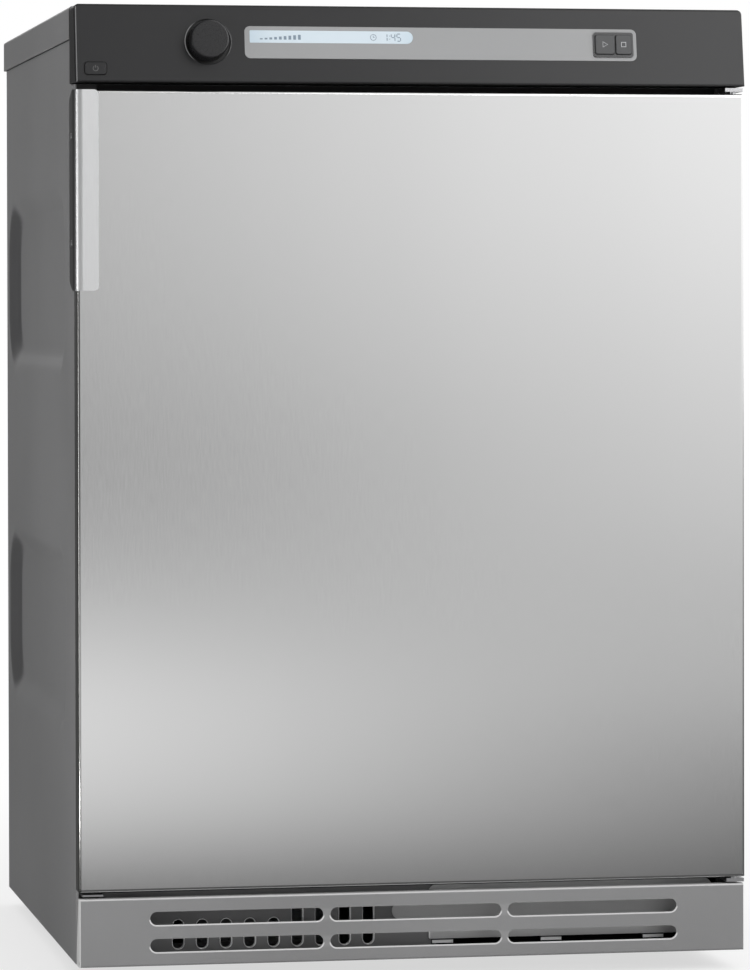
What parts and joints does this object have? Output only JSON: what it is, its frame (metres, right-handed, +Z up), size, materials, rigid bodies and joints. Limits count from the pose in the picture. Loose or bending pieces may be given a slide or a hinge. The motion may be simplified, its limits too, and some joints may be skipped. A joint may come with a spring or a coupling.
{
  "type": "tumble dryer",
  "caption": "Worktop-high front-loading tumble dryer with a solid brushed-steel door, knob and key panel, slotted plinth and drum.",
  "frame": {"origin": "centre of the overall box, on the floor", "axes": "+Z up, the door faces -Y, +X to the right seen from the front"},
  "size_m": [0.5979, 0.6126, 0.85],
  "materials": {
    "grey_paint": "satin powder coat",
    "plinth_paint": "satin powder coat",
    "brushed_steel": "vertical brushed grain",
    "zinc_steel": "zinc-coated sheet",
    "drum_steel": "satin, rolled",
    "handle_alloy": "fine bead-blasted, anodised",
    "fin_alloy": "mill finish",
    "shaft_steel": "ground",
    "motor_iron": "painted",
    "fascia_plastic": "fine texture",
    "strip_plastic": "satin",
    "window_plastic": "clear front over a pale display",
    "key_plastic": "satin",
    "bezel_plastic": "semi-gloss",
    "knob_plastic": "soft satin",
    "black_plastic": "moulded",
    "white_plastic": "moulded",
    "vent_paint": "satin",
    "hatch_paint": "satin",
    "seal_rubber": "matt",
    "belt_rubber": "ribbed",
    "felt": "pressed felt",
    "lifter_plastic": "moulded",
    "board": "lacquered"
  },
  "bodies": {
    "cabinet": {"side_panel_right": "grey_paint", "side_panel_left": "grey_paint", "rear_panel": "zinc_steel", "base_tray": "zinc_steel", "worktop": "grey_paint", "top_crossbars": "zinc_steel", "front_frame": "grey_paint", "front_bulkhead": "white_plastic", "drum_felt": "felt", "door_seal": "seal_rubber", "fascia": "fascia_plastic", "display_strip": "strip_plastic", "display_window": "window_plastic", "key_bezel": "bezel_plastic", "control_board": "board", "vent_panel": "vent_paint", "exchanger_hatch": "hatch_paint", "exchanger_housing": "black_plastic", "heat_exchanger": "fin_alloy", "bearing_bracket": "zinc_steel", "rear_duct": "zinc_steel", "fan_housing": "black_plastic", "motor": "motor_iron", "motor_cradle": "zinc_steel", "drive_belt": "belt_rubber", "tensioner_arm": "zinc_steel", "drain_pump": "black_plastic", "drain_spigot": "black_plastic", "terminal_box": "black_plastic", "hinge_arms": "shaft_steel"},
    "door": {"door_skin": "brushed_steel", "door_liner": "white_plastic", "door_dish": "black_plastic", "door_handle": "handle_alloy", "handle_screws": "shaft_steel", "latch_tongue": "shaft_steel", "hinge_cups": "shaft_steel"},
    "drum": {"drum_shell": "drum_steel", "drum_back": "drum_steel", "drum_lifters": "lifter_plastic", "drum_shaft": "shaft_steel"},
    "rotor": {"motor_shaft": "shaft_steel", "process_fan": "black_plastic", "cooling_fan": "black_plastic"},
    "idler": {"idler_pulley": "zinc_steel"},
    "roller_left": {"support_roller_left": "white_plastic"},
    "roller_right": {"support_roller_right": "white_plastic"},
    "selector": {"knob": "knob_plastic"},
    "start": {"start_key": "key_plastic"},
    "stop": {"stop_key": "key_plastic"},
    "power": {"power_key": "key_plastic"},
    "filter": {"lint_filter": "black_plastic"},
    "plinth": {"plinth_panel": "plinth_paint"},
    "catch": {"door_catch": "white_plastic"},
    "foot_fl": {"foot_front_left": "black_plastic"},
    "foot_fr": {"foot_front_right": "black_plastic"},
    "foot_rl": {"foot_rear_left": "black_plastic"},
    "foot_rr": {"foot_rear_right": "black_plastic"}
  },
  "joints": [
    {"name": "door_hinge", "type": "hinge", "parent": "cabinet", "child": "door", "pos_m": [0.288, -0.28965, 0.4], "axis": [0, 0, 1], "range_deg": [0, 160]},
    {"name": "drum_spin", "type": "hinge", "parent": "cabinet", "child": "drum", "pos_m": [0, 0, 0.475], "axis": [0, 1, 0], "continuous": true},
    {"name": "motor_spin", "type": "hinge", "parent": "cabinet", "child": "rotor", "pos_m": [-0.15, 0, 0.118], "axis": [0, 1, 0], "continuous": true},
    {"name": "idler_spin", "type": "hinge", "parent": "cabinet", "child": "idler", "pos_m": [-0.0086, 0, 0.15302], "axis": [0, 1, 0], "continuous": true},
    {"name": "roller_left_spin", "type": "hinge", "parent": "cabinet", "child": "roller_left", "pos_m": [-0.16938, 0, 0.2331], "axis": [0, 1, 0], "continuous": true},
    {"name": "roller_right_spin", "type": "hinge", "parent": "cabinet", "child": "roller_right", "pos_m": [0.16938, 0, 0.2331], "axis": [0, 1, 0], "continuous": true},
    {"name": "selector_turn", "type": "hinge", "parent": "cabinet", "child": "selector", "pos_m": [-0.1809, -0.29085, 0.8178], "axis": [0, 0.9872, -0.1597], "continuous": true},
    {"name": "start_press", "type": "slide", "parent": "cabinet", "child": "start", "axis": [0, 0.9872, -0.1597], "range_m": [0, 0.0012], "stiffness_N_per_m": 800},
    {"name": "stop_press", "type": "slide", "parent": "cabinet", "child": "stop", "axis": [0, 0.9872, -0.1597], "range_m": [0, 0.0012], "stiffness_N_per_m": 800},
    {"name": "power_press", "type": "slide", "parent": "cabinet", "child": "power", "axis": [0, 0.9872, -0.1597], "range_m": [0, 0.0008], "stiffness_N_per_m": 800},
    {"name": "filter_lift", "type": "slide", "parent": "cabinet", "child": "filter", "axis": [0, 0, 1], "range_m": [0, 0.13]},
    {"name": "plinth_tip", "type": "hinge", "parent": "cabinet", "child": "plinth", "pos_m": [0, -0.29295, 0.021], "axis": [1, 0, 0], "range_deg": [0, 90]},
    {"name": "catch_slide", "type": "slide", "parent": "cabinet", "child": "catch", "axis": [1, 0, 0], "range_m": [0, 0.004], "stiffness_N_per_m": 1500},
    {"name": "foot_fl_turn", "type": "hinge", "parent": "cabinet", "child": "foot_fl", "pos_m": [-0.245, -0.14865, 0.02], "axis": [0, 0, 1], "continuous": true},
    {"name": "foot_fr_turn", "type": "hinge", "parent": "cabinet", "child": "foot_fr", "pos_m": [0.245, -0.14865, 0.02], "axis": [0, 0, 1], "continuous": true},
    {"name": "foot_rl_turn", "type": "hinge", "parent": "cabinet", "child": "foot_rl", "pos_m": [-0.245, 0.24835, 0.02], "axis": [0, 0, 1], "continuous": true},
    {"name": "foot_rr_turn", "type": "hinge", "parent": "cabinet", "child": "foot_rr", "pos_m": [0.245, 0.24835, 0.02], "axis": [0, 0, 1], "continuous": true}
  ],
  "couplings": [
    {"joint": "motor_spin", "follows": "drum_spin", "ratio": 25.167},
    {"joint": "idler_spin", "follows": "drum_spin", "ratio": -16.179},
    {"joint": "roller_left_spin", "follows": "drum_spin", "ratio": -10.8},
    {"joint": "roller_right_spin", "follows": "drum_spin", "ratio": -10.8}
  ]
}
